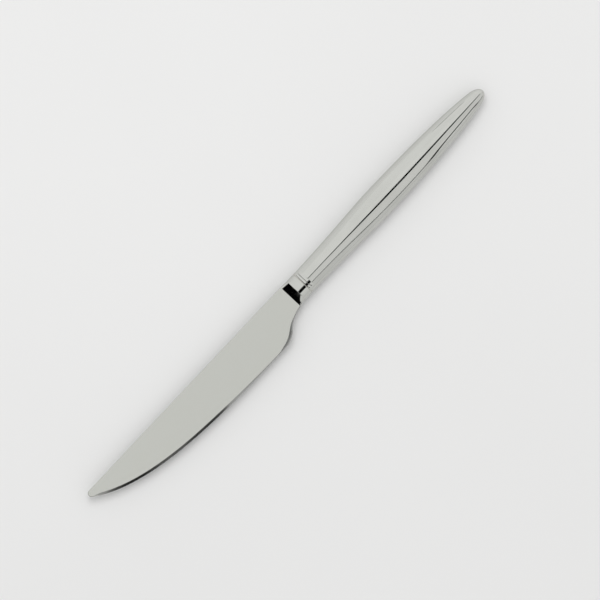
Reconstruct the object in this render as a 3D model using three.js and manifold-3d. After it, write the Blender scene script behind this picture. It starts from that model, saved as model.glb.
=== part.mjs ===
// A dessert knife with a brazed hollow handle, in millimetres.
// +X runs to the point, +Y to the cutting edge and +Z up from the face that is seen.
// The bolster line, where the flat of the blade ends, is at x = 0 while the pieces are built.

import * as THREE from 'three';
import { mergeVertices } from 'three/addons/utils/BufferGeometryUtils.js';
import Module from 'manifold-3d';

const wasm = await Module();
wasm.setup();

// Blade outline, measured from the handle's axis.
const bladeLength = 102.8;
const spineAtBolster = 4.9;
const spineAtPoint = 5.3;
const pointRadius = 1.4;
const bellyAngle = THREE.MathUtils.degToRad(36.9);
const heelDepth = 11.45;
const heelFrom = 17.8;
const heelTo = 14.6;
const choilDepth = 5.15;

// Blade thickness and grind.
const spineThickness = 2.4;
const pointThickness = 1.3;
const heelThickness = 1.2;
const bevelWidth = 0.95;
const heelBevelWidth = 0.25;
const choilBevelWidth = 1.2;
const edgeThickness = 0.16;
const spineChamfer = 0.25;

// Bolster and tang.
const shoulderLength = 3.1;
const collarLength = 3.5;
const collarWidth = 9.54;
const collarThickness = 6.3;
const collarFlatDepth = 0.08;
const tangLength = 40;
const tangWidth = 3.8;
const tangThickness = 2.4;

// Ferrule, with two beads between fine grooves.
const brazeThickness = 0.3;
const grooveDepth = 0.1;
const grooveSharpness = 2.2;
const frontBeadLength = 1.0;
const rearBeadLength = 1.25;
const sleeveLength = 3.5;

// Handle shells.
const gripLength = 93.25;
const mouthWidth = 9.5;
const gripWidth = 11.58;
const gripThickness = 7.8;
const widestAt = 36;
const buttWidth = 6.0;
const buttLength = 3.9;
const buttAngle = THREE.MathUtils.degToRad(9.6);
const tipHalfWidth = 0.15;
const wall = 0.8;
const seamThickness = 0.12;
const facetAngle = THREE.MathUtils.degToRad(17);
const flankAngle = THREE.MathUtils.degToRad(31);
const hollow = THREE.MathUtils.degToRad(6.7);
const hollowNearButt = THREE.MathUtils.degToRad(29.5);
const hollowBesideRidge = 0.28;
const fluteTurn = 0.68;
const fluteWidestAt = 53;
const fluteShareAtMouth = 0.49;
const fluteShareAtWidest = 0.68;
const fluteShareAtButt = 0.61;
const ridgeRoundAtMouth = 0.3;
const ridgeRoundAtWidest = 0.78;
const ridgeRoundAtButt = 0.5;

// Filling.
const cementBeyondTang = 10.5;
const fillClearance = 0.25;
const tangClearance = 0.25;
const sleeveClearance = 0.2;

const collarExponent = 2.3;
const tangExponent = 4;
const rootExponent = 7;
const ringPoints = 40;
const ridgeSteps = 4;

const shoulderBack = -shoulderLength;
const collarBack = shoulderBack - collarLength;
const ferruleFront = collarBack - brazeThickness;
const frontBeadBack = ferruleFront - frontBeadLength;
const mouth = frontBeadBack - rearBeadLength;
const sleeveBack = mouth - sleeveLength;
const butt = mouth - gripLength;

const steel = new THREE.MeshStandardMaterial({ color: 0xcfcfc8, roughness: 0.22, metalness: 1 });
const satinSteel = new THREE.MeshStandardMaterial({ color: 0xc9c9c0, roughness: 0.38, metalness: 1 });
const braze = new THREE.MeshStandardMaterial({ color: 0xd6cfae, roughness: 0.35, metalness: 1 });
const cement = new THREE.MeshStandardMaterial({ color: 0xa8a39a, roughness: 0.9, metalness: 0 });
const sand = new THREE.MeshStandardMaterial({ color: 0xc8b48c, roughness: 1, metalness: 0 });

function signedVolume(positions, index) {
  const corners = [new THREE.Vector3(), new THREE.Vector3(), new THREE.Vector3()];
  let volume = 0;
  for (let i = 0; i < index.length; i += 3) {
    corners.forEach((corner, k) => corner.fromArray(positions, 3 * index[i + k]));
    volume += corners[0].dot(corners[1].cross(corners[2]));
  }
  return volume / 6;
}

// Joins rings of equal length into one closed body with flat ends.
function loft(sections) {
  const flat = (ring) => ring.map((point) => new THREE.Vector2(point.y, point.z));
  const clockwise = THREE.ShapeUtils.isClockWise(flat(sections[0]));
  const rings = clockwise ? sections.map((ring) => [...ring].reverse()) : sections;
  const count = rings[0].length;
  const positions = rings.flat().flatMap((point) => point.toArray());
  const index = [];
  for (let r = 0; r + 1 < rings.length; r += 1) {
    for (let k = 0; k < count; k += 1) {
      const a = r * count + k;
      const b = r * count + ((k + 1) % count);
      index.push(a, b, b + count, a, b + count, a + count);
    }
  }
  const last = (rings.length - 1) * count;
  for (const [a, b, c] of THREE.ShapeUtils.triangulateShape(flat(rings[0]), [])) {
    index.push(c, b, a);
  }
  for (const [a, b, c] of THREE.ShapeUtils.triangulateShape(flat(rings.at(-1)), [])) {
    index.push(last + a, last + b, last + c);
  }
  if (signedVolume(positions, index) < 0) {
    index.reverse();
  }
  const geometry = new THREE.BufferGeometry();
  geometry.setAttribute('position', new THREE.Float32BufferAttribute(positions, 3));
  geometry.setIndex(index);
  return geometry;
}

function solid(geometry) {
  const plain = geometry.clone();
  plain.deleteAttribute('normal');
  plain.deleteAttribute('uv');
  const merged = mergeVertices(plain, 1e-4);
  const vertProperties = new Float32Array(merged.getAttribute('position').array);
  const triVerts = new Uint32Array(merged.getIndex().array);
  return new wasm.Manifold(new wasm.Mesh({ numProp: 3, vertProperties, triVerts }));
}

function slab(xFrom, xTo, zFrom, zTo) {
  const width = 4 * Math.max(gripWidth, collarWidth);
  const box = new THREE.BoxGeometry(xTo - xFrom, width, zTo - zFrom);
  box.translate((xFrom + xTo) / 2, 0, (zFrom + zTo) / 2);
  return solid(box);
}

function pieceOf(name, body, material) {
  const { vertProperties, triVerts } = body.getMesh();
  const geometry = new THREE.BufferGeometry();
  geometry.setAttribute('position', new THREE.Float32BufferAttribute(vertProperties, 3));
  geometry.setIndex(Array.from(triVerts));
  geometry.computeVertexNormals();
  const mesh = new THREE.Mesh(geometry, material);
  mesh.name = name;
  return mesh;
}

// A rounded oblong ring across the handle's axis: exponent 2 is an ellipse, higher is squarer.
function oblongRing(x, halfWidth, halfThickness, exponent, middle = 0) {
  const round = (value) => Math.sign(value) * Math.abs(value) ** (2 / exponent);
  return Array.from({ length: ringPoints }, (_, k) => {
    const angle = (2 * Math.PI * (k + 0.5)) / ringPoints;
    return new THREE.Vector3(
      x,
      middle + halfWidth * round(Math.cos(angle)),
      halfThickness * round(Math.sin(angle)),
    );
  });
}

// The collar is ground flat in a narrow strip above and below, so that the knife lies still on it.
function collarRing(x, inset = 0) {
  const ring = oblongRing(x, collarWidth / 2 - inset, collarThickness / 2 - inset, collarExponent);
  const flatHeight = collarThickness / 2 - collarFlatDepth - inset;
  return ring.map((point) => point.setZ(THREE.MathUtils.clamp(point.z, -flatHeight, flatHeight)));
}

function heightAt(points, x) {
  const next = points.findIndex((point) => point.x <= x);
  if (next <= 0) {
    return points.at(next).y;
  }
  const [a, b] = [points[next - 1], points[next]];
  return THREE.MathUtils.mapLinear(x, a.x, b.x, a.y, b.y);
}

// Outline of the blade from its point back to the bolster, as two lists of points.
function bladeOutline() {
  const tip = bladeLength - pointRadius;
  const noseMiddle = pointRadius - spineAtPoint;
  const nose = (from, to, steps) => Array.from({ length: steps + 1 }, (_, k) => {
    const angle = THREE.MathUtils.lerp(from, to, k / steps);
    return new THREE.Vector2(
      tip + pointRadius * Math.cos(angle),
      noseMiddle + pointRadius * Math.sin(angle),
    );
  });
  const bellyStart = new THREE.Vector2(
    tip + pointRadius * Math.sin(bellyAngle),
    noseMiddle + pointRadius * Math.cos(bellyAngle),
  );
  const bellyLength = bladeLength - heelFrom;
  const bellyLean = new THREE.Vector2(-Math.cos(bellyAngle), Math.sin(bellyAngle));
  const belly = new THREE.CubicBezierCurve(
    bellyStart,
    bellyStart.clone().addScaledVector(bellyLean, 0.27 * bellyLength),
    new THREE.Vector2(heelFrom + 0.354 * bellyLength, heelDepth),
    new THREE.Vector2(heelFrom, heelDepth),
  );
  const choil = new THREE.CubicBezierCurve(
    new THREE.Vector2(heelTo, heelDepth),
    new THREE.Vector2(0.53 * heelTo, heelDepth),
    new THREE.Vector2(0.59 * heelTo, choilDepth + 0.155 * (heelDepth - choilDepth)),
    new THREE.Vector2(0, choilDepth),
  );
  const quarter = Math.PI / 2;
  const noseToBelly = nose(0.15, quarter - bellyAngle, 5).slice(0, -1);
  const edge = [...noseToBelly, ...belly.getPoints(22), ...choil.getPoints(14)];
  const spine = [...nose(-0.15, -quarter, 8), new THREE.Vector2(0, -spineAtBolster)];
  return { edge, spine };
}

// Half thickness of the blade's flat cheek, a plane through spine, point and heel.
function cheek(x, y) {
  const alongSpine = (spineThickness - pointThickness) / bladeLength;
  const towardsHeel = spineThickness - heelThickness - alongSpine * heelFrom;
  const acrossHeel = towardsHeel / (heelDepth + spineAtBolster);
  return (spineThickness - alongSpine * x - acrossHeel * (y + spineAtBolster)) / 2;
}

// Width of the ground strip along the edge: wide on the belly, narrow at the heel and a lens on the choil.
function bevelAt(x) {
  const onBelly = THREE.MathUtils.smoothstep(x, 0.8 * heelFrom, 3.1 * heelFrom);
  const onChoil = THREE.MathUtils.clamp(THREE.MathUtils.inverseLerp(0.25 * heelTo, heelFrom, x), 0, 1);
  const belly = THREE.MathUtils.lerp(heelBevelWidth, bevelWidth, onBelly);
  return Math.max(belly, choilBevelWidth * Math.sin(Math.PI * onChoil));
}

function bladePlate() {
  const { edge, spine } = bladeOutline();
  const rings = edge.map(({ x, y }) => {
    const back = heightAt(spine, x);
    const width = y - back;
    const blunt = 1 - THREE.MathUtils.smoothstep(x, 0.6 * heelTo, heelFrom);
    const bevel = Math.min(bevelAt(x), 0.3 * width);
    const chamfer = Math.min(spineChamfer, 0.1 * width);
    const edgeHalf = THREE.MathUtils.lerp(edgeThickness / 2, 0.6 * cheek(x, y), blunt);
    const upper = [
      [back, cheek(x, back) - chamfer],
      [back + chamfer, cheek(x, back + chamfer)],
      [y - bevel, cheek(x, y - bevel)],
      [y, edgeHalf],
    ];
    const lower = upper.map(([across, up]) => [across, -up]).reverse();
    return [...upper, ...lower].map(([across, up]) => new THREE.Vector3(x, across, up));
  });
  const inside = rings.at(-1).map((point) => new THREE.Vector3(shoulderBack, 0.8 * point.y, point.z));
  return solid(loft([...rings, inside]));
}

function bolster() {
  const rootHalfWidth = (spineAtBolster + choilDepth) / 2 - spineChamfer;
  const rootMiddle = (choilDepth - spineAtBolster) / 2;
  const rootHalfThickness = cheek(0, rootMiddle) - spineChamfer / 2;
  return solid(loft([
    oblongRing(0, rootHalfWidth, rootHalfThickness, rootExponent, rootMiddle),
    collarRing(shoulderBack),
    collarRing(collarBack),
  ]));
}

function tangBody(clearance, from, to) {
  return solid(loft([from, to].map((x) => (
    oblongRing(x, tangWidth / 2 + clearance, tangThickness / 2 + clearance, tangExponent)
  ))));
}

// Half of the handle's outline in plan, from the mouth to the butt, as distance and half width.
function gripOutline() {
  const half = gripWidth / 2;
  const buttStart = new THREE.Vector2(gripLength - buttLength, buttWidth / 2);
  const slope = new THREE.Vector2(Math.cos(buttAngle), -Math.sin(buttAngle));
  const taperLength = buttStart.x - widestAt;
  const swell = new THREE.CubicBezierCurve(
    new THREE.Vector2(0, mouthWidth / 2),
    new THREE.Vector2(0.38 * widestAt, mouthWidth / 2),
    new THREE.Vector2(0.88 * widestAt, half),
    new THREE.Vector2(widestAt, half),
  );
  const taper = new THREE.CubicBezierCurve(
    swell.v3,
    new THREE.Vector2(widestAt + 0.15 * taperLength, half),
    buttStart.clone().addScaledVector(slope, -0.3 * taperLength),
    buttStart,
  );
  const end = new THREE.CubicBezierCurve(
    buttStart,
    buttStart.clone().addScaledVector(slope, 0.55 * buttLength),
    new THREE.Vector2(gripLength, 0.25 * buttWidth),
    new THREE.Vector2(gripLength, 0),
  );
  return [...swell.getPoints(9), ...taper.getPoints(16).slice(1), ...end.getPoints(8).slice(1)];
}

// The outline moved inwards by an even distance.
function insetOutline(inset) {
  const outline = gripOutline();
  return outline.map((point, k) => {
    const before = outline[Math.max(k - 1, 0)];
    const after = outline[Math.min(k + 1, outline.length - 1)];
    const along = after.clone().sub(before).normalize();
    const isTip = k === outline.length - 1;
    const inwards = isTip ? new THREE.Vector2(-1, 0) : new THREE.Vector2(along.y, -along.x);
    return point.clone().addScaledVector(inwards, inset);
  });
}

// A value that goes smoothly from the handle's mouth to where the flutes are widest, and on to the butt.
function alongGrip(distance, atMouth, atWidest, atButt) {
  const rise = THREE.MathUtils.smoothstep(distance, 0, fluteWidestAt);
  const fall = THREE.MathUtils.smoothstep(distance, fluteWidestAt, gripLength);
  return THREE.MathUtils.lerp(THREE.MathUtils.lerp(atMouth, atWidest, rise), atButt, fall);
}

// The flutes are hollowed more for a stretch near the butt, and run out at its end.
function deepAt(distance) {
  const start = THREE.MathUtils.smoothstep(distance, 0.62 * gripLength, 0.8 * gripLength);
  const runOut = THREE.MathUtils.smoothstep(distance, 0.9 * gripLength, 0.965 * gripLength);
  return start * (1 - runOut);
}

// Ring across the handle: a rounded ridge on each face, hollow flutes beside it and round flanks.
function gripRing(distance, halfWidth, halfThickness) {
  const hollowHere = THREE.MathUtils.lerp(hollow, hollowNearButt, deepAt(distance));
  const steep = facetAngle + hollowBesideRidge * hollowHere;
  const slight = facetAngle - hollowHere;
  const radius = alongGrip(distance, ridgeRoundAtMouth, ridgeRoundAtWidest, ridgeRoundAtButt) * halfWidth;
  const onRidge = (angle) => new THREE.Vector2(
    radius * Math.sin(angle),
    halfThickness - radius * (1 - Math.cos(angle)),
  );
  const fluteStart = onRidge(steep);
  const browAt = alongGrip(distance, fluteShareAtMouth, fluteShareAtWidest, fluteShareAtButt) * halfWidth;
  const fluteWidth = browAt - fluteStart.x;
  const fall = (angle) => new THREE.Vector2(1, -Math.tan(angle));
  const bottom = fluteStart.clone().addScaledVector(fall(steep), fluteTurn * fluteWidth);
  const brow = bottom.clone().addScaledVector(fall(slight), (1 - fluteTurn) * fluteWidth);
  const flute = new THREE.QuadraticBezierCurve(fluteStart, bottom, brow);
  const flankTop = Math.max(brow.y - (halfWidth - brow.x) * Math.tan(flankAngle), 0.3 * brow.y);
  const flank = new THREE.QuadraticBezierCurve(
    brow,
    new THREE.Vector2(halfWidth, flankTop),
    new THREE.Vector2(halfWidth, 0),
  );
  const ridge = Array.from({ length: ridgeSteps }, (_, k) => onRidge((steep * k) / ridgeSteps));
  const quarter = [
    ...ridge,
    ...flute.getPoints(4),
    ...flank.getPoints(5).slice(1),
  ];
  const left = quarter.slice(1).map((p) => new THREE.Vector2(-p.x, p.y)).reverse();
  const upper = [...left, ...quarter];
  const lower = upper.slice(1, -1).map((p) => new THREE.Vector2(p.x, -p.y)).reverse();
  return [...upper, ...lower].map((p) => new THREE.Vector3(mouth - distance, p.x, p.y));
}

// Body that fills the handle's outline, moved in by an inset, between two distances from the mouth.
function gripBody(inset, from, to) {
  const slimness = (gripThickness / 2 - inset) / (gripWidth / 2 - inset);
  const outline = insetOutline(inset).reverse();
  const end = Math.min(to, outline[0].x);
  const between = outline.map((point) => point.x).filter((x) => x > from && x < end).reverse();
  const rings = [from, ...between, end].map((distance) => {
    const halfWidth = Math.max(heightAt(outline, distance), tipHalfWidth);
    return gripRing(distance, halfWidth, halfWidth * slimness);
  });
  return solid(loft(rings));
}

function beadRings(from, to) {
  const steps = 8;
  return Array.from({ length: steps + 1 }, (_, k) => {
    const share = (1 - Math.cos((Math.PI * k) / steps)) / 2;
    const depth = grooveDepth * (1 - Math.sin(Math.PI * share)) ** grooveSharpness;
    return collarRing(THREE.MathUtils.lerp(from, to, share), depth);
  });
}

function sleeveBody() {
  const inset = wall + sleeveClearance;
  const halfWidth = mouthWidth / 2 - inset;
  const halfThickness = (halfWidth * (gripThickness / 2 - inset)) / (gripWidth / 2 - inset);
  const rings = [frontBeadBack, sleeveBack].map((x) => (
    gripRing(0, halfWidth, halfThickness).map((point) => point.setX(x))
  ));
  return solid(loft(rings));
}

const tangBack = collarBack - tangLength;
const cementEnd = mouth - tangBack + cementBeyondTang;
const bore = tangBody(tangClearance, collarBack + wall, sleeveBack - wall);

const blade = bladePlate().add(bolster()).add(tangBody(0, shoulderBack, tangBack));
const mouthBraze = solid(loft([collarRing(collarBack, grooveDepth), collarRing(ferruleFront, grooveDepth)]));
const rearBead = beadRings(frontBeadBack, mouth).slice(1);
const beads = solid(loft([...beadRings(ferruleFront, frontBeadBack), ...rearBead]));
const ferrule = beads.add(sleeveBody());

const overall = 2 * gripThickness;
const tube = gripBody(0, 0, gripLength).subtract(gripBody(wall, -wall, gripLength));
const frontHalf = slab(butt - wall, mouth + wall, seamThickness / 2, overall);
const backHalf = slab(butt - wall, mouth + wall, -overall, -seamThickness / 2);
const seamLayer = slab(butt - wall, mouth + wall, -seamThickness / 2, seamThickness / 2);

const fillInset = wall + fillClearance;
const tangSocket = tangBody(tangClearance, sleeveBack + wall, tangBack - tangClearance);
const cementBody = gripBody(fillInset, sleeveLength, cementEnd).subtract(tangSocket);

const knife = new THREE.Group();
knife.add(
  pieceOf('blade', blade, satinSteel),
  pieceOf('mouth_braze', mouthBraze.subtract(bore), braze),
  pieceOf('ferrule', ferrule.subtract(bore), steel),
  pieceOf('handle_shell_front', tube.intersect(frontHalf), steel),
  pieceOf('handle_shell_back', tube.intersect(backHalf), steel),
  pieceOf('seam_braze', tube.intersect(seamLayer), braze),
  pieceOf('tang_cement', cementBody, cement),
  pieceOf('sand_fill', gripBody(fillInset, cementEnd, gripLength), sand),
);

// The knife lies with the middle of its underside at the origin.
const box = new THREE.Box3().setFromObject(knife);
const middle = box.getCenter(new THREE.Vector3());
knife.position.set(-middle.x, -middle.y, -box.min.z);

const object = new THREE.Group();
object.add(knife);

export default object;
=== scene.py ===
# %% [markdown]
# # A dessert knife with a hollow steel handle
# The real knife is one forged blade with its bolster and tang, a double-beaded ferrule, and two pressed
# half shells that are brazed together and filled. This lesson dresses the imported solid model: each piece
# that shows is made again with fine faces, in the same place, and every piece gets its own finish.
# The solid model is loaded first, because all the pieces are fitted to it.

# %% Load the solid model
import math

import bmesh
import bpy
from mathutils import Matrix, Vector


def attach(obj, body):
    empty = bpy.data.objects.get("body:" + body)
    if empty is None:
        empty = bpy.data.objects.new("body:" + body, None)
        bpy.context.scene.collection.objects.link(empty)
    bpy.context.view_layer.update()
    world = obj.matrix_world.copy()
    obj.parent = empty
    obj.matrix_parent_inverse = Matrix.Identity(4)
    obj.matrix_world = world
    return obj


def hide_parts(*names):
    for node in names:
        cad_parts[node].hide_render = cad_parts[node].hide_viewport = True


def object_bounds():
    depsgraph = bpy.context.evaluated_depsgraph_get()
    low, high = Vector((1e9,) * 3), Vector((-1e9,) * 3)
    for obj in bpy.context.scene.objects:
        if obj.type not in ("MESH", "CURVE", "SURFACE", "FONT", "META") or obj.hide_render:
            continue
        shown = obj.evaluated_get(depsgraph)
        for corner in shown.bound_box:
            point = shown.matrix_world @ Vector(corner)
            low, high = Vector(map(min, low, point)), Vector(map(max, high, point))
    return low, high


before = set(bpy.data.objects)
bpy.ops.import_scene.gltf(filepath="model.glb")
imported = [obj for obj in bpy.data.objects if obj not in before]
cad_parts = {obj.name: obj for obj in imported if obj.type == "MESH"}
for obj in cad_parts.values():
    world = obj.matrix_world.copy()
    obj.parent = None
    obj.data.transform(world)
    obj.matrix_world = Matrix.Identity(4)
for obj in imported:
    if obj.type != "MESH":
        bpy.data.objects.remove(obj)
solid_low, solid_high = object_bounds()
print("solid model:", [round(1000 * size, 2) for size in solid_high - solid_low], "mm")

# %% [markdown]
# The sizes below are in millimetres and are measured from the line where the flat of the blade meets the
# bolster, with the point towards +X, the cutting edge towards +Y and the seen face up. Blender works in
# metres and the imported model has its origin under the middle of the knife, so one small function moves a
# point from the knife's own sizes into the scene.

# %% Knife sizes and the move into the scene
BLADE_LENGTH = 102.8
HEEL_DEPTH = 11.45
MM = 0.001
scene_shift = Vector((
    solid_high.x - BLADE_LENGTH * MM,
    solid_high.y - HEEL_DEPTH * MM,
    (solid_low.z + solid_high.z) / 2,
))


def in_scene(x, y, z):
    return Vector((x, y, z)) * MM + scene_shift


print("bolster line in the scene:", [round(1000 * value, 3) for value in scene_shift], "mm")

# %% [markdown]
# Steel is shown by what it mirrors, so its node material is mostly about small changes of gloss. A long,
# thin noise stands for the polishing lines, a wide noise for the slight cloudiness that handling leaves,
# and a very low bump lets the lines catch the light. The colour moves only a little, because polished
# steel has one colour; the ground edge and choil strips are darker, partly for their ground finish and
# partly as painted dark reflection. One function makes every steel here, so the finishes stay related.


# %% A function for polished steel
NOISE_LOW = 0.3
NOISE_HIGH = 0.7
LINE_DETAIL = 3
CLOUD_DETAIL = 4
CLOUD_STRETCH = (90, 130, 130)


def wire(material):
    material.use_nodes = True
    nodes = material.node_tree.nodes
    return nodes, material.node_tree.links, nodes["Principled BSDF"]


def noise_on(nodes, links, stretch, detail):
    place = nodes.new("ShaderNodeTexCoord")
    mapping = nodes.new("ShaderNodeMapping")
    mapping.inputs["Scale"].default_value = stretch
    noise = nodes.new("ShaderNodeTexNoise")
    noise.inputs["Scale"].default_value = 1.0
    noise.inputs["Detail"].default_value = detail
    links.new(place.outputs["Object"], mapping.inputs["Vector"])
    links.new(mapping.outputs["Vector"], noise.inputs["Vector"])
    return noise.outputs["Fac"]


def ramp_between(nodes, links, factor, dark, light):
    ramp = nodes.new("ShaderNodeValToRGB")
    ramp.color_ramp.elements[0].position = NOISE_LOW
    ramp.color_ramp.elements[1].position = NOISE_HIGH
    ramp.color_ramp.elements[0].color = (*dark, 1)
    ramp.color_ramp.elements[1].color = (*light, 1)
    links.new(factor, ramp.inputs["Fac"])
    return ramp.outputs["Color"]


def range_between(nodes, links, factor, low, high):
    spread = nodes.new("ShaderNodeMapRange")
    spread.inputs["From Min"].default_value = NOISE_LOW
    spread.inputs["From Max"].default_value = NOISE_HIGH
    spread.inputs["To Min"].default_value = low
    spread.inputs["To Max"].default_value = high
    links.new(factor, spread.inputs["Value"])
    return spread.outputs["Result"]


def polished_steel(name, dark, light, gloss, line_stretch, line_height):
    material = bpy.data.materials.new(name)
    nodes, links, shader = wire(material)
    lines = noise_on(nodes, links, line_stretch, LINE_DETAIL)
    clouds = noise_on(nodes, links, CLOUD_STRETCH, CLOUD_DETAIL)
    shader.inputs["Metallic"].default_value = 1.0
    links.new(ramp_between(nodes, links, clouds, dark, light), shader.inputs["Base Color"])
    links.new(range_between(nodes, links, clouds, *gloss), shader.inputs["Roughness"])
    bump = nodes.new("ShaderNodeBump")
    bump.inputs["Strength"].default_value = 1.0
    bump.inputs["Distance"].default_value = line_height * MM
    links.new(lines, bump.inputs["Height"])
    links.new(bump.outputs["Normal"], shader.inputs["Normal"])
    return material


blade_steel = polished_steel(
    "blade_steel", (0.545, 0.552, 0.515), (0.578, 0.585, 0.548), (0.13, 0.17), (350, 9000, 9000), 0.0004)
# Edge bevel: its darker base colour is partly a real ground finish and partly painted dark reflection of the
# room.
painted_dark_edge_steel = polished_steel(
    "ground_edge_painted_dark_steel", (0.33, 0.334, 0.32), (0.4, 0.404, 0.385), (0.12, 0.17), (9000, 700, 700), 0.0006)
# Choil flat: its much darker base colour is partly a real ground finish and partly painted dark reflection.
painted_dark_choil_steel = polished_steel(
    "ground_choil_painted_dark_steel", (0.19, 0.192, 0.185), (0.30, 0.303, 0.295), (0.3, 0.4), (2500, 2500, 9000), 0.0012)
bolster_steel = polished_steel(
    "bolster_steel", (0.55, 0.556, 0.525), (0.58, 0.585, 0.555), (0.05, 0.075), (500, 7000, 7000), 0.00012)
handle_steel = polished_steel(
    "handle_steel", (0.55, 0.556, 0.525), (0.585, 0.59, 0.56), (0.085, 0.12), (500, 7000, 7000), 0.0002)
print("steels:", blade_steel.name, painted_dark_edge_steel.name, handle_steel.name)

# %% [markdown]
# The braze in the joints is a silver alloy, a little warmer and duller than the steel. Cement and sand
# fill the handle and never show, but they stay in the model, so each gets a plain grainy finish: cement
# as cloudy grey, sand as many small cells of slightly different colour.


# %% Braze, cement and sand
GRAIN_DETAIL = 6


def grainy(name, stretch, dark, light, roughness):
    material = bpy.data.materials.new(name)
    nodes, links, shader = wire(material)
    grains = noise_on(nodes, links, stretch, GRAIN_DETAIL)
    links.new(ramp_between(nodes, links, grains, dark, light), shader.inputs["Base Color"])
    shader.inputs["Roughness"].default_value = roughness
    return material


braze = polished_steel(
    "silver_braze", (0.50, 0.49, 0.45), (0.56, 0.55, 0.51), (0.28, 0.4), (4000, 4000, 4000), 0.0004)
cement = grainy("handle_cement", (900, 900, 900), (0.30, 0.29, 0.27), (0.42, 0.40, 0.37), 0.9)
sand = grainy("packed_sand", (2600, 2600, 2600), (0.42, 0.33, 0.20), (0.66, 0.55, 0.38), 1.0)
print("fillings:", braze.name, cement.name, sand.name)

# %% [markdown]
# A closed metal piece here is a stack of rings, joined into a skin. This function turns points and faces
# into an object that sits at the origin, points its faces outwards and keeps a crease where two faces meet
# at more than a given angle.


# %% A function that makes one closed piece
def make_piece(name, points, faces, materials, crease, slots=None):
    mesh = bpy.data.meshes.new(name)
    mesh.from_pydata(points, [], faces)
    for material in materials:
        mesh.materials.append(material)
    if slots:
        mesh.polygons.foreach_set("material_index", slots)
    shape = bmesh.new()
    shape.from_mesh(mesh)
    bmesh.ops.recalc_face_normals(shape, faces=shape.faces)
    shape.to_mesh(mesh)
    shape.free()
    mesh.shade_smooth()
    mesh.set_sharp_from_angle(angle=math.radians(crease))
    piece = bpy.data.objects.new(name, mesh)
    bpy.context.scene.collection.objects.link(piece)
    print(name, "has", len(mesh.polygons), "faces")
    return piece


# %% [markdown]
# The blade's outline is a straight spine, a small round point, a long belly, a short straight heel and the
# S-shaped choil that leads back to the bolster. Bezier curves give the belly and the choil with four points
# each; the pulls below say how far their handles reach. The outline is walked once, from the bolster along
# the spine and back along the edge, and each stop keeps how far it belongs to the cutting edge (grind).

# %% Walk round the blade's outline
SPINE_AT_BOLSTER = 4.9
SPINE_AT_POINT = 5.3
POINT_RADIUS = 1.4
BELLY_ANGLE = math.radians(36.9)
HEEL_FROM = 17.8
HEEL_TO = 14.6
CHOIL_DEPTH = 5.15
BELLY_PULL_AT_POINT = 0.27
BELLY_PULL_AT_HEEL = 0.354
CHOIL_PULL_AT_HEEL = 0.53
CHOIL_PULL_AT_BOLSTER = 0.59
CHOIL_LIFT = 0.155
SPINE_STOPS = 40
POINT_STOPS = 28
BELLY_STOPS = 90
GRIND_GROWS_OVER = 5
HEEL_STOPS = 5
CHOIL_STOPS = 44


def bezier(a, b, c, d, t):
    s = 1 - t
    return a * s**3 + b * (3 * t * s * s) + c * (3 * t * t * s) + d * t**3


def smooth(value, low, high):
    t = min(max((value - low) / (high - low), 0), 1)
    return t * t * (3 - 2 * t)


def walk_outline():
    tip = BLADE_LENGTH - POINT_RADIUS
    nose = Vector((tip, POINT_RADIUS - SPINE_AT_POINT))
    along = BLADE_LENGTH - HEEL_FROM
    drop = HEEL_DEPTH - CHOIL_DEPTH
    start = nose + POINT_RADIUS * Vector((math.sin(BELLY_ANGLE), math.cos(BELLY_ANGLE)))
    lean = Vector((-math.cos(BELLY_ANGLE), math.sin(BELLY_ANGLE)))
    belly = (start, start + BELLY_PULL_AT_POINT * along * lean,
             Vector((HEEL_FROM + BELLY_PULL_AT_HEEL * along, HEEL_DEPTH)), Vector((HEEL_FROM, HEEL_DEPTH)))
    choil = (Vector((HEEL_TO, HEEL_DEPTH)), Vector((CHOIL_PULL_AT_HEEL * HEEL_TO, HEEL_DEPTH)),
             Vector((CHOIL_PULL_AT_BOLSTER * HEEL_TO, CHOIL_DEPTH + CHOIL_LIFT * drop)),
             Vector((0, CHOIL_DEPTH)))
    spine_start = Vector((0, -SPINE_AT_BOLSTER))
    spine_end = Vector((tip, -SPINE_AT_POINT))
    stops = [(spine_start.lerp(spine_end, k / SPINE_STOPS), 0) for k in range(SPINE_STOPS)]
    sweep = math.pi - BELLY_ANGLE
    for k in range(POINT_STOPS):
        angle = -math.pi / 2 + sweep * k / POINT_STOPS
        stops.append((nose + POINT_RADIUS * Vector((math.cos(angle), math.sin(angle))), 0))
    for k in range(BELLY_STOPS):
        stops.append((bezier(*belly, k / BELLY_STOPS), smooth(k, 0, GRIND_GROWS_OVER)))
    stops += [(belly[3].lerp(choil[0], k / HEEL_STOPS), 1) for k in range(HEEL_STOPS)]
    stops += [(bezier(*choil, k / CHOIL_STOPS), 1) for k in range(CHOIL_STOPS + 1)]
    return stops


outline = walk_outline()
print("outline stops:", len(outline))

# %% [markdown]
# Both cheeks of the blade are flat planes that taper from the spine to the edge and from the bolster to
# the point. Along the rim a narrow strip turns each cheek down: a small round on the spine, a ground bevel
# on the edge, a blunt flat along the choil. Each stop of the outline gives one slice of that strip, laid
# inwards square to the outline, and each cheek is then one flat face with many corners.

# %% Slices of the blade's rim
SPINE_THICKNESS = 2.4
POINT_THICKNESS = 1.3
HEEL_THICKNESS = 1.2
SPINE_ROUND = 0.28
BELLY_BEVEL = 0.95
HEEL_BEVEL = 0.25
BEVEL_GROWS_FROM = 14.24
BEVEL_GROWS_TO = 55.18
CHOIL_BEVEL = 1.2
CHOIL_FROM = 18.0
CHOIL_TO = 3.65
EDGE_HALF = 0.08
BLUNT_FROM = 8.76
BLUNT_SHARE = 0.6
RIM_STEPS = 6


def cheek(x, y):
    along_spine = (SPINE_THICKNESS - POINT_THICKNESS) / BLADE_LENGTH
    to_heel = SPINE_THICKNESS - HEEL_THICKNESS - along_spine * HEEL_FROM
    across = to_heel / (HEEL_DEPTH + SPINE_AT_BOLSTER)
    return (SPINE_THICKNESS - along_spine * x - across * (y + SPINE_AT_BOLSTER)) / 2


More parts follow.
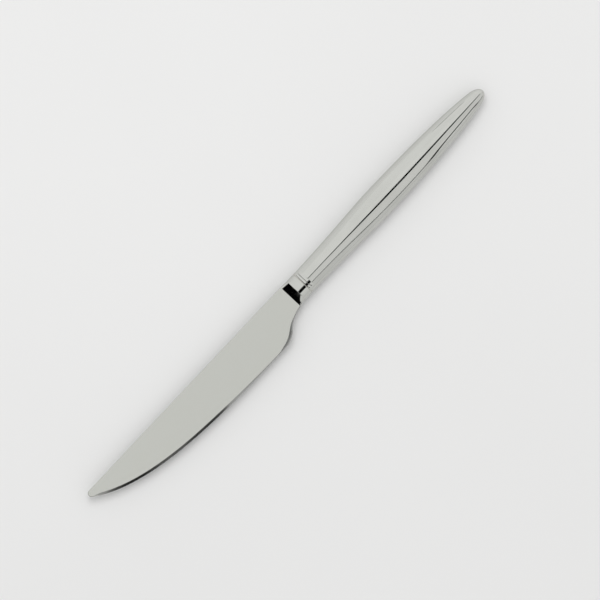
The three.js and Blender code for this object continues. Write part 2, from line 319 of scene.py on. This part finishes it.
def rim_slice(point, inwards, grind):
    blunt = 1 - smooth(point.x, BLUNT_FROM, HEEL_FROM)
    grown = smooth(point.x, BEVEL_GROWS_FROM, BEVEL_GROWS_TO)
    bevel = HEEL_BEVEL + (BELLY_BEVEL - HEEL_BEVEL) * grown
    on_choil = min(max((point.x - CHOIL_TO) / (CHOIL_FROM - CHOIL_TO), 0), 1)
    bevel = max(bevel, CHOIL_BEVEL * math.sin(math.pi * on_choil))
    rim = EDGE_HALF + (BLUNT_SHARE * cheek(*point) - EDGE_HALF) * blunt
    shoulder = point + bevel * inwards
    upper = []
    for step in range(RIM_STEPS + 1):
        turn = math.pi / 2 * step / RIM_STEPS
        share = step / RIM_STEPS
        on_round = point + SPINE_ROUND * (1 - math.sin(turn)) * inwards
        on_bevel = shoulder.lerp(point, share)
        round_height = cheek(*on_round) - SPINE_ROUND * (1 - math.cos(turn))
        bevel_height = cheek(*shoulder) + (rim - cheek(*shoulder)) * share
        place = on_round.lerp(on_bevel, grind)
        height = round_height + (bevel_height - round_height) * grind
        upper.append((place.x, place.y, height))
    return upper + [(x, y, -z) for x, y, z in reversed(upper)]


def rim_slices(stops):
    slices = []
    last = len(stops) - 1
    for k, (point, grind) in enumerate(stops):
        ahead = stops[min(k + 1, last)][0] - stops[max(k - 1, 0)][0]
        inwards = Vector((-ahead.y, ahead.x)).normalized()
        if k == 0:
            inwards = Vector((0, 1))
        if k == last:
            inwards = Vector((0, -1))
        slices.append(rim_slice(point, inwards, grind))
    return slices


slices = rim_slices(outline)
print("rim slices:", len(slices), "of", len(slices[0]), "points")

# %% [markdown]
# Behind the blade the forging swells in a steep shoulder to the collar, and goes on inside the handle as
# the tang. The shoulder starts from the very points where the blade ends, so the two are one skin. Collar
# and tang are rounded oblongs (superellipses: exponent 2 is an ellipse, a higher one is squarer). Each
# point of the blade's end is matched with an angle on the oblong that lies straight behind it.

# %% Rings of the bolster and tang
SHOULDER_LENGTH = 3.1
COLLAR_LENGTH = 3.5
COLLAR_HALF = 4.77
COLLAR_HALF_THICKNESS = 3.15
COLLAR_EXPONENT = 2.3
COLLAR_EASE = 0.12
TANG_HALF = 1.9
TANG_HALF_THICKNESS = 1.2
TANG_EXPONENT = 4
TANG_LENGTH = 40
ACROSS_STEPS = 36


def rounded(value, exponent):
    return math.copysign(abs(value) ** (2 / exponent), value)


def oblong(x, half, half_thickness, exponent, angles):
    return [(x, half * rounded(math.cos(a), exponent), half_thickness * rounded(math.sin(a), exponent))
            for a in angles]


def collar_ring(x, inset, angles):
    return oblong(x, COLLAR_HALF - inset, COLLAR_HALF_THICKNESS - inset, COLLAR_EXPONENT, angles)


def end_of_blade():
    spine_end, choil_end = slices[0], slices[-1]
    middle = (CHOIL_DEPTH - SPINE_AT_BOLSTER) / 2
    half = (CHOIL_DEPTH + SPINE_AT_BOLSTER) / 2

    def angle_at(y):
        share = (y - middle) / half
        return math.acos(math.copysign(abs(share) ** (COLLAR_EXPONENT / 2), share))

    low, high = spine_end[0][1], choil_end[0][1]
    inner = [low + (high - low) * k / ACROSS_STEPS for k in range(1, ACROSS_STEPS)]
    from_spine, from_edge = angle_at(low), angle_at(high)
    strip = len(spine_end) - 1
    spine_angles = [from_spine + 2 * (math.pi - from_spine) * k / strip for k in range(strip + 1)]
    edge_angles = [-from_edge + 2 * from_edge * k / strip for k in range(strip + 1)]
    lower = [(0, y, -cheek(0, y)) for y in inner]
    upper = [(0, y, cheek(0, y)) for y in reversed(inner)]
    angles = (spine_angles + [-angle_at(y) for y in inner]
              + edge_angles + [angle_at(y) for y in reversed(inner)])
    return lower, upper, angles


lower_line, upper_line, ring_angles = end_of_blade()
print("points round the bolster:", len(ring_angles))

# %% [markdown]
# Now the forging is put together: the rim strip, the two cheeks, the shoulder, the collar with its two
# eased corners, the step behind it and the tang. One more ring beside each eased corner keeps the corner's
# soft shading off the long faces of the collar. Every ring uses the same number of points, so the skin is
# made of four-sided faces, and it closes with one flat face at the end of the tang. The faces with many
# corners, which are the cheeks and that end, are shaded flat.


# %% Build the blade, bolster and tang
SLOT_BLADE, SLOT_EDGE, SLOT_CHOIL, SLOT_BOLSTER = range(4)
SHOULDER_STEPS = 10
EASE_STEPS = 4
BESIDE_EASE = 1.5 * COLLAR_EASE
EDGE_ROWS = 3
BLADE_CREASE = 14


def blade_rings(first_ring):
    back = -SHOULDER_LENGTH
    end = back - COLLAR_LENGTH
    shoulder_end = collar_ring(back, COLLAR_EASE, ring_angles)
    rings = []
    for k in range(1, SHOULDER_STEPS + 1):
        share = k / SHOULDER_STEPS
        rings.append([tuple(Vector(a).lerp(Vector(b), share)) for a, b in zip(first_ring, shoulder_end)])
    for k in range(1, EASE_STEPS + 1):
        turn = math.pi / 2 * k / EASE_STEPS
        ease = COLLAR_EASE * (1 - math.sin(turn))
        rings.append(collar_ring(back - COLLAR_EASE * (1 - math.cos(turn)), ease, ring_angles))
    rings.append(collar_ring(back - BESIDE_EASE, 0, ring_angles))
    rings.append(collar_ring(end + BESIDE_EASE, 0, ring_angles))
    for k in range(EASE_STEPS + 1):
        turn = math.pi / 2 * k / EASE_STEPS
        ease = COLLAR_EASE * (1 - math.cos(turn))
        rings.append(collar_ring(end + COLLAR_EASE * (1 - math.sin(turn)), ease, ring_angles))
    tang = (TANG_HALF, TANG_HALF_THICKNESS, TANG_EXPONENT, ring_angles)
    return rings + [oblong(end, *tang), oblong(end - TANG_LENGTH, *tang)]


def rim_slot(point, grind, row):
    if grind < 0.5:
        return SLOT_BLADE
    outer_rows = abs(row - RIM_STEPS) < EDGE_ROWS
    return SLOT_EDGE if point.x > CHOIL_FROM or point.x < CHOIL_TO or outer_rows else SLOT_CHOIL


def build_blade():
    strip = len(slices[0])
    last = (len(slices) - 1) * strip
    points = [point for part in slices for point in part]
    faces, slots = [], []
    for s, (point, grind) in enumerate(outline[:-1]):
        for k in range(strip - 1):
            a = s * strip + k
            faces.append((a, a + 1, a + strip + 1, a + strip))
            slots.append(rim_slot(point, grind, k))
    lower = list(range(len(points), len(points) + len(lower_line)))
    points += lower_line
    upper = list(range(len(points), len(points) + len(upper_line)))
    points += upper_line
    faces.append([s * strip for s in range(len(slices))] + upper)
    faces.append([s * strip + strip - 1 for s in range(len(slices))] + lower[::-1])
    slots += [SLOT_BLADE] * 2
    ring = list(range(strip)) + lower + [last + k for k in reversed(range(strip))] + upper
    for new_points in blade_rings([points[k] for k in ring]):
        new_ring = list(range(len(points), len(points) + len(ring)))
        points += new_points
        for k in range(len(ring)):
            after = (k + 1) % len(ring)
            faces.append((ring[k], ring[after], new_ring[after], new_ring[k]))
        ring = new_ring
    faces.append(ring)
    slots += [SLOT_BOLSTER] * (len(faces) - len(slots))
    placed = [in_scene(*point) for point in points]
    steels = [blade_steel, painted_dark_edge_steel, painted_dark_choil_steel, bolster_steel]
    piece = make_piece("forged_blade", placed, faces, steels, BLADE_CREASE, slots)
    for face in piece.data.polygons:
        if len(face.vertices) > 4:
            face.use_smooth = False
    return piece


blade_piece = build_blade()
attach(blade_piece, "root")
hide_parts("blade")

# %% [markdown]
# The ferrule is a turned ring: two round beads that show, and a plain sleeve that reaches into the handle.
# Its section is a closed line of places and sizes, carried round the same oblong as the collar. A thin
# ring of braze, a little below the surface, joins it to the collar and shows as the first fine groove.

# %% Ferrule and the braze ring before it
BRAZE_THICKNESS = 0.3
GROOVE_DEPTH = 0.08
GROOVE_SHARPNESS = 2.2
BEAD_STEPS = 16
FRONT_BEAD = 1.0
REAR_BEAD = 1.25
SLEEVE_LENGTH = 3.5
SLEEVE_INSET = 1.05
BORE_CLEARANCE = 0.25
ROUND_POINTS = 160
RING_CREASE = 35
collar_back = -SHOULDER_LENGTH - COLLAR_LENGTH
ferrule_front = collar_back - BRAZE_THICKNESS
mouth = ferrule_front - FRONT_BEAD - REAR_BEAD
even_angles = [2 * math.pi * k / ROUND_POINTS for k in range(ROUND_POINTS)]


def bead_rows(front, length):
    rows = []
    for k in range(BEAD_STEPS + 1):
        share = (1 - math.cos(math.pi * k / BEAD_STEPS)) / 2
        depth = GROOVE_DEPTH * (1 - math.sin(math.pi * share)) ** GROOVE_SHARPNESS
        rows.append(collar_ring(front - length * share, depth, even_angles))
    return rows


def bore_row(x):
    half = TANG_HALF + BORE_CLEARANCE
    half_thickness = TANG_HALF_THICKNESS + BORE_CLEARANCE
    return oblong(x, half, half_thickness, TANG_EXPONENT, even_angles)


def ring_piece(name, rows, material):
    points = [in_scene(*point) for row in rows for point in row]
    faces = []
    for r in range(len(rows)):
        here = r * ROUND_POINTS
        there = (r + 1) % len(rows) * ROUND_POINTS
        for k in range(ROUND_POINTS):
            after = (k + 1) % ROUND_POINTS
            faces.append((here + k, here + after, there + after, there + k))
    return make_piece(name, points, faces, [material], RING_CREASE)


sleeve_back = mouth - SLEEVE_LENGTH
ferrule_rows = bead_rows(ferrule_front, FRONT_BEAD) + bead_rows(ferrule_front - FRONT_BEAD, REAR_BEAD)[1:]
ferrule_rows += [collar_ring(x, SLEEVE_INSET, even_angles) for x in (mouth, sleeve_back)]
ferrule_rows += [bore_row(sleeve_back), bore_row(ferrule_front)]
ferrule_piece = ring_piece("beaded_ferrule", ferrule_rows, handle_steel)
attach(ferrule_piece, "root")
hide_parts("ferrule")

braze_rows = [collar_ring(x, GROOVE_DEPTH, even_angles) for x in (collar_back, ferrule_front)]
braze_rows += [bore_row(ferrule_front), bore_row(collar_back)]
braze_piece = ring_piece("mouth_braze_ring", braze_rows, braze)
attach(braze_piece, "root")
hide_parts("mouth_braze")

# %% [markdown]
# Each half shell of the handle is pressed from sheet: a ridge down the middle, a long hollow flute on each
# side and round flanks that turn down to the seam. That shape follows a rule along the handle, so Geometry
# Nodes makes it. Writing dozens of Math nodes by hand is hard to read; this small class lets Python's own
# plus, minus and times add the nodes, so a line of code is a formula in the tree.


# %% Formulas that become nodes
class Field:
    tree = None

    def __init__(self, socket):
        self.socket = socket

    def __add__(self, other):
        return step("ADD", self, other)

    def __sub__(self, other):
        return step("SUBTRACT", self, other)

    def __mul__(self, other):
        return step("MULTIPLY", self, other)

    def __truediv__(self, other):
        return step("DIVIDE", self, other)

    def __rsub__(self, other):
        return step("SUBTRACT", other, self)

    __radd__ = __add__
    __rmul__ = __mul__


def join_to(socket, value):
    if isinstance(value, Field):
        Field.tree.links.new(value.socket, socket)
    else:
        socket.default_value = value


def step(operation, *terms):
    node = Field.tree.nodes.new("ShaderNodeMath")
    node.operation = operation
    for socket, term in zip(node.inputs, terms):
        join_to(socket, term)
    return Field(node.outputs[0])


def ease(value, start, end, low, high, interpolation="SMOOTHSTEP"):
    node = Field.tree.nodes.new("ShaderNodeMapRange")
    node.interpolation_type = interpolation
    names = ("Value", "From Min", "From Max", "To Min", "To Max")
    for name, term in zip(names, (value, start, end, low, high)):
        join_to(node.inputs[name], term)
    return Field(node.outputs["Result"])


def vector(x, y, z):
    node = Field.tree.nodes.new("ShaderNodeCombineXYZ")
    for socket, term in zip(node.inputs, (x, y, z)):
        join_to(socket, term)
    return Field(node.outputs[0])


def parts_of(value):
    node = Field.tree.nodes.new("ShaderNodeSeparateXYZ")
    join_to(node.inputs[0], value)
    return [Field(output) for output in node.outputs]


print("formula steps ready")

# %% [markdown]
# The handle's outline in plan is three Bezier segments: the swell from the ferrule, the long taper and the
# rounded butt. Sampling that curve gives every row of the shell its distance and its half width. The tree's
# inputs are the sizes a maker would give, so the same tree makes the front and the back half.

# %% The shell tree, part one: inputs and outline
SHELL_SIZES = {
    "Mouth Half Width": 4.75 * MM,
    "Widest Half Width": 5.79 * MM,
    "Widest At": 36 * MM,
    "Butt Half Width": 3.0 * MM,
    "Butt Length": 3.9 * MM,
    "Butt Angle": math.radians(9.6),
    "Length": 93.25 * MM,
    "Half Thickness": 3.9 * MM,
    "Flutes Widest At": 53 * MM,
    "Brow Share at Mouth": 0.49,
    "Brow Share at Widest": 0.68,
    "Brow Share at Butt": 0.61,
    "Ridge Round at Mouth": 0.3,
    "Ridge Round at Widest": 0.78,
    "Ridge Round at Butt": 0.5,
    "Facet Angle": math.radians(17),
    "Flank Angle": math.radians(31),
    "Hollow": math.radians(6.7),
    "Hollow near Butt": math.radians(29.5),
    "Hollow beside Ridge": 0.28,
    "Flute Turn": 0.68,
    "Half Seam": 0.06 * MM,
    "Side": 1.0,
}
CURVE_POINTS = 96
BUTT_PULL = 0.55
BUTT_CLOSE = 0.5
TAPER_PULL = 0.15
TAPER_PULL_AT_BUTT = 0.3
SWELL_PULL_AT_MOUTH = 0.38
SWELL_PULL_AT_WIDEST = 0.88


def new_tree(name, sizes):
    tree = bpy.data.node_groups.new(name, "GeometryNodeTree")
    tree.is_modifier = True
    for label in sizes:
        tree.interface.new_socket(label, in_out="INPUT", socket_type="NodeSocketFloat")
    tree.interface.new_socket("Finish", in_out="INPUT", socket_type="NodeSocketMaterial")
    tree.interface.new_socket("Geometry", in_out="OUTPUT", socket_type="NodeSocketGeometry")
    entry = tree.nodes.new("NodeGroupInput")
    Field.tree = tree
    return tree, {label: Field(entry.outputs[label]) for label in [*sizes, "Finish"]}


def segment(start, start_handle, end_handle, end):
    node = Field.tree.nodes.new("GeometryNodeCurvePrimitiveBezierSegment")
    node.mode = "POSITION"
    node.inputs["Resolution"].default_value = CURVE_POINTS
    names = ("Start", "Start Handle", "End Handle", "End")
    for name, place in zip(names, (start, start_handle, end_handle, end)):
        join_to(node.inputs[name], vector(*place, 0.0))
    return node.outputs["Curve"]


def plan_curve(size):
    mouth_half, half, widest = size["Mouth Half Width"], size["Widest Half Width"], size["Widest At"]
    length, butt_half, butt_length = size["Length"], size["Butt Half Width"], size["Butt Length"]
    butt_at = length - butt_length
    taper = butt_at - widest
    run, fall = step("COSINE", size["Butt Angle"]), step("SINE", size["Butt Angle"])
    butt_pull, taper_pull = butt_length * BUTT_PULL, taper * TAPER_PULL_AT_BUTT
    join = Field.tree.nodes.new("GeometryNodeJoinGeometry")
    spans = [
        ((butt_at, butt_half), (butt_at + run * butt_pull, butt_half - fall * butt_pull),
         (length, butt_half * BUTT_CLOSE), (length, 0.0)),
        ((widest, half), (widest + taper * TAPER_PULL, half),
         (butt_at - run * taper_pull, butt_half + fall * taper_pull), (butt_at, butt_half)),
        ((0.0, mouth_half), (widest * SWELL_PULL_AT_MOUTH, mouth_half),
         (widest * SWELL_PULL_AT_WIDEST, half), (widest, half)),
    ]
    for span in spans:
        Field.tree.links.new(segment(*span), join.inputs[0])
    return join.outputs[0]


shell_tree, size = new_tree("fluted_shell", SHELL_SIZES)
plan = plan_curve(size)
print("shell tree inputs:", len(SHELL_SIZES) + 1)

# %% [markdown]
# A flat grid becomes the shell: one direction runs along the outline, the other across from seam to seam.
# Across, a point first climbs down the rounded ridge, then crosses the flute, then the flank. Each part has
# its own share of the grid, clamped at both ends, so the three moves can simply be added up. The flutes
# grow deeper towards the butt and run out just before it, at the shares of the length named below.

# %% The shell tree, part two: the section
STATIONS = 261
ACROSS = 121
RIDGE_END = 0.15
FLUTE_END = 0.6
DEEPEN_FROM = 0.62
DEEPEN_TO = 0.8
RUN_OUT_FROM = 0.9
RUN_OUT_TO = 0.965
LEAST_CORNER = 0.3
THINNEST = 0.001 * MM


def bend(t, first, middle, last):
    return (1 - t) * (1 - t) * first + t * (1 - t) * 2 * middle + t * t * last


def along_grip(size, distance, name):
    at_mouth, at_widest, at_butt = [size[f"{name} at {place}"] for place in ("Mouth", "Widest", "Butt")]
    rising = ease(distance, 0.0, size["Flutes Widest At"], at_mouth, at_widest)
    return ease(distance, size["Flutes Widest At"], size["Length"], rising, at_butt)


def section(size, distance, half, height, across):
    length = size["Length"]
    deep = ease(distance, length * DEEPEN_FROM, length * DEEPEN_TO, 0.0, 1.0)
    deep = deep * ease(distance, length * RUN_OUT_FROM, length * RUN_OUT_TO, 1.0, 0.0)
    hollow = size["Hollow"] + (size["Hollow near Butt"] - size["Hollow"]) * deep
    steep = size["Facet Angle"] + hollow * size["Hollow beside Ridge"]
    slight = size["Facet Angle"] - hollow
    ridge = half * along_grip(size, distance, "Ridge Round")
    ridge_y = ridge * step("SINE", steep)
    ridge_z = height - ridge * (1 - step("COSINE", steep))
    brow_y = half * along_grip(size, distance, "Brow Share")
    middle_y = ridge_y + (brow_y - ridge_y) * size["Flute Turn"]
    middle_z = ridge_z - (middle_y - ridge_y) * step("TANGENT", steep)
    brow_z = middle_z - (brow_y - middle_y) * step("TANGENT", slight)
    flank_drop = (half - brow_y) * step("TANGENT", size["Flank Angle"])
    corner_z = step("MAXIMUM", brow_z - flank_drop, brow_z * LEAST_CORNER)
    on_ridge = ease(across, 0.0, RIDGE_END, 0.0, steep, "LINEAR")
    on_flute = ease(across, RIDGE_END, FLUTE_END, 0.0, 1.0, "LINEAR")
    on_flank = ease(across, FLUTE_END, 1.0, 0.0, 1.0, "LINEAR")
    y = ridge * step("SINE", on_ridge) + bend(on_flute, ridge_y, middle_y, brow_y) - ridge_y
    y = y + bend(on_flank, brow_y, half, half) - brow_y
    z = height - ridge * (1 - step("COSINE", on_ridge))
    z = z + bend(on_flute, ridge_z, middle_z, brow_z) - ridge_z
    z = z + bend(on_flank, brow_z, corner_z, 0.0) - brow_z
    return y, z


def shell_surface(size, plan):
    nodes, links = Field.tree.nodes, Field.tree.links
    grid = nodes.new("GeometryNodeMeshGrid")
    grid.inputs["Size X"].default_value = 1.0
    grid.inputs["Size Y"].default_value = 2.0
    grid.inputs["Vertices X"].default_value = STATIONS
    grid.inputs["Vertices Y"].default_value = ACROSS
    along, side, _ = parts_of(Field(nodes.new("GeometryNodeInputPosition").outputs[0]))
    sample = nodes.new("GeometryNodeSampleCurve")
    sample.mode = "FACTOR"
    sample.use_all_curves = True
    links.new(plan, sample.inputs["Curves"])
    join_to(sample.inputs["Factor"], along + 0.5)
    distance, half, _ = parts_of(Field(sample.outputs["Position"]))
    height = half * (size["Half Thickness"] / size["Widest Half Width"])
    y, z = section(size, distance, half, height, step("ABSOLUTE", side))
    seam = size["Half Seam"]
    lift = step("MINIMUM", seam, height)
    z = z * (1 - lift / step("MAXIMUM", height, THINNEST)) + lift
    turned = size["Side"]
    place_x = mouth * MM + scene_shift.x - distance
    place_y = turned * step("SIGN", side) * y + scene_shift.y
    return grid, vector(place_x, place_y, turned * z + scene_shift.z)


grid, place = shell_surface(size, plan)
print("shell grid:", STATIONS, "by", ACROSS)

# %% [markdown]
# The last nodes move the grid, weld the rows that meet at the butt, smooth the shading and set the finish.
# The evaluated result is copied to a plain mesh and the modifier removed. A Solidify modifier then gives the
# sheet its thickness inwards, as pressed steel has it, and is made part of the mesh in the same way. At the
# low, round butt the inner face would dip past the seam, so every corner of it is held at the seam.


# %% The shell tree, part three, and both half shells
WALL = 0.8
WELD_DISTANCE = 0.002 * MM
SHELL_CREASE = 50


def close_tree(tree, grid, place, finish):
    nodes, links = tree.nodes, tree.links
    move = nodes.new("GeometryNodeSetPosition")
    outwards = nodes.new("GeometryNodeFlipFaces")
    weld = nodes.new("GeometryNodeMergeByDistance")
    weld.inputs["Distance"].default_value = WELD_DISTANCE
    shade = nodes.new("GeometryNodeSetShadeSmooth")
    real = nodes.new("GeometryNodeRealizeInstances")
    coat = nodes.new("GeometryNodeSetMaterial")
    leave = nodes.new("NodeGroupOutput")
    links.new(grid.outputs["Mesh"], move.inputs["Geometry"])
    join_to(move.inputs["Position"], place)
    chain = [move, outwards, weld, shade, real, coat, leave]
    for before, after in zip(chain, chain[1:]):
        links.new(before.outputs[0], after.inputs[0])
    join_to(coat.inputs["Material"], finish)


def settle(piece):
    seen = piece.evaluated_get(bpy.context.evaluated_depsgraph_get())
    mesh = bpy.data.meshes.new_from_object(seen)
    piece.modifiers.clear()
    piece.data = mesh
    mesh.name = piece.name


def half_shell(name, side):
    piece = bpy.data.objects.new(name, bpy.data.meshes.new(name))
    bpy.context.scene.collection.objects.link(piece)
    maker = piece.modifiers.new("fluted_shell", "NODES")
    maker.node_group = shell_tree
    values = {**SHELL_SIZES, "Side": side, "Finish": handle_steel}
    for item in shell_tree.interface.items_tree:
        if item.in_out == "INPUT":
            maker[item.identifier] = values[item.name]
    settle(piece)
    sheet = piece.modifiers.new("wall", "SOLIDIFY")
    sheet.thickness = WALL * MM
    sheet.offset = -1
    settle(piece)
    for corner in piece.data.vertices:
        lift = max(side * (corner.co.z - scene_shift.z), SHELL_SIZES["Half Seam"])
        corner.co.z = scene_shift.z + side * lift
    piece.data.set_sharp_from_angle(angle=math.radians(SHELL_CREASE))
    print(name, "has", len(piece.data.polygons), "faces")
    return piece


close_tree(shell_tree, grid, place, size["Finish"])
shells = (("front_shell", "handle_shell_front", 1.0), ("back_shell", "handle_shell_back", -1.0))
for name, node, side in shells:
    shell = half_shell(name, side)
    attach(shell, "root")
    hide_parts(node)

# %% [markdown]
# The flat layer of braze in the seam, the cement round the tang and the sand behind it keep the shape of
# the solid model. Only their finish changes, by filling the material slots of the loaded objects.

# %% Finishes of the pieces that keep their solid shape
for node, finish in (("seam_braze", braze), ("tang_cement", cement), ("sand_fill", sand)):
    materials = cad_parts[node].data.materials
    materials.clear()
    materials.append(finish)
    print(node, "wears", finish.name)

# %% [markdown]
# The floor is a plain pale sheet, a little uneven in tone like seamless paper. It is part of the set and
# not of the knife.

# %% Floor
FLOOR_HALF = 3.0
floor_mesh = bpy.data.meshes.new("floor")
corners = [(-FLOOR_HALF, -FLOOR_HALF, 0), (FLOOR_HALF, -FLOOR_HALF, 0), (FLOOR_HALF, FLOOR_HALF, 0),
           (-FLOOR_HALF, FLOOR_HALF, 0)]
floor_mesh.from_pydata(corners, [], [(0, 1, 2, 3)])
floor = bpy.data.objects.new("floor", floor_mesh)
bpy.context.scene.collection.objects.link(floor)
paper = grainy("pale_paper", (3, 3, 3), (0.76, 0.76, 0.755), (0.79, 0.79, 0.785), 0.9)
floor_mesh.materials.append(paper)
print("floor:", 2 * FLOOR_HALF, "m wide")

# %% [markdown]
# The light is one soft white room with one lamp, which isn't mirrored and adds a soft shadow. Together they
# light diffuse surfaces at about full strength, so colours come out as written. Polished steel would look
# flat in an even room, so for reflections the same room has a slim dark gap between two ceiling panels, a
# dark opening beyond the knife's point and a dark corner beside it. Each dark patch is a band of directions:
# where it starts, where it ends and how soft its ends are. A slope here is the tilt of a surface that
# mirrors that direction straight up. The camera itself sees plain white.


# %% The room and the lamp
GAP_ACROSS = (0.07, 0.222, 0.007)
GAP_ALONG = (-0.41, 0.58, 0.03)
OPENING_ALONG = (0.22, 1.0, 0.02)
OPENING_ACROSS = (-1.0, 0.31, 0.02)
OPENING_RIM = (-1.0, 0.7, 0.02)
RIM_LEAN = 0.5
CORNER_HEIGHT = (37.0, 50.0, 1.5)
CORNER_TURN = (50.0, 86.3, 1.2)
FALL_OFF_AT_EDGE = (-10.0, 85.0, 1.02, 0.78)
FALL_OFF_AT_SPINE = (-85.0, -25.0, 0.9, 1.0)
EVEN_LIGHT = 0.8
LAMP_SIZE = 0.9
LAMP_POWER = 5.5
LAMP_PLACE = Vector((-0.35, -0.45, 1.2))


def band(value, low, high, soft):
    rise = ease(value, low - soft, low + soft, 0.0, 1.0)
    return rise - ease(value, high - soft, high + soft, 0.0, 1.0)


def degrees(value):
    return value * (180 / math.pi)


def room():
    world = bpy.data.worlds.new("soft_room")
    world.use_nodes = True
    Field.tree = world.node_tree
    nodes, links = world.node_tree.nodes, world.node_tree.links
    x, y, z = parts_of(Field(nodes.new("ShaderNodeTexCoord").outputs["Generated"]))
    lean_y = degrees(step("ARCTAN2", y, z))
    height = degrees(step("ARCSINE", z))
    turn = degrees(step("ARCTAN2", y, x))
    slope_x, slope_y = x / (z + 1.0), y / (z + 1.0)
    gap = band(slope_y, *GAP_ACROSS) * band(slope_x, *GAP_ALONG)
    rim = slope_x + step("ABSOLUTE", slope_y) * RIM_LEAN
    opening = band(slope_x, *OPENING_ALONG) * band(slope_y, *OPENING_ACROSS) * band(rim, *OPENING_RIM)
    corner = band(height, *CORNER_HEIGHT) * band(turn, *CORNER_TURN)
    fall_off = ease(lean_y, *FALL_OFF_AT_EDGE) * ease(lean_y, *FALL_OFF_AT_SPINE)
    dark = step("MINIMUM", gap + opening + corner, 1.0)
    mirrored = fall_off * (1 - dark)
    path = nodes.new("ShaderNodeLightPath")
    glossy = Field(path.outputs["Is Glossy Ray"])
    camera = Field(path.outputs["Is Camera Ray"])
    even = camera + (1 - camera) * EVEN_LIGHT
    background = nodes["Background"]
    background.inputs["Color"].default_value = (1, 1, 1, 1)
    join_to(background.inputs["Strength"], glossy * mirrored + (1 - glossy) * even)
    return world


bpy.context.scene.world = room()
lamp_data = bpy.data.lights.new("soft_lamp", "AREA")
lamp_data.shape = "DISK"
lamp_data.size = LAMP_SIZE
lamp_data.energy = LAMP_POWER
lamp = bpy.data.objects.new("soft_lamp", lamp_data)
lamp.location = LAMP_PLACE
lamp.rotation_euler = LAMP_PLACE.to_track_quat("Z", "Y").to_euler()
lamp.visible_glossy = False
bpy.context.scene.collection.objects.link(lamp)
print("room and lamp ready")

# %% [markdown]
# The picture is taken straight from above with a long lens, so nothing leans. The knife lies across the
# frame with its point at the lower left; the camera is turned about its own axis to give that angle.

# %% Camera
FRAME_WIDTH = 0.2178
CAMERA_HEIGHT = 2.0
AIM = Vector((-0.00172, 0.000645, 0.004))
TURN = math.radians(133.05)
SENSOR_WIDTH = 36
FARTHEST = 20
camera_data = bpy.data.cameras.new("camera")
camera_data.sensor_width = SENSOR_WIDTH
camera_data.lens = SENSOR_WIDTH * CAMERA_HEIGHT / FRAME_WIDTH
camera_data.clip_end = FARTHEST
camera = bpy.data.objects.new("camera", camera_data)
camera.location = AIM + Vector((0, 0, CAMERA_HEIGHT))
camera.rotation_euler = (0, 0, TURN)
bpy.context.scene.collection.objects.link(camera)
bpy.context.scene.camera = camera
bpy.context.scene.view_settings.view_transform = "Standard"
print("lens:", round(camera_data.lens, 1), "mm")
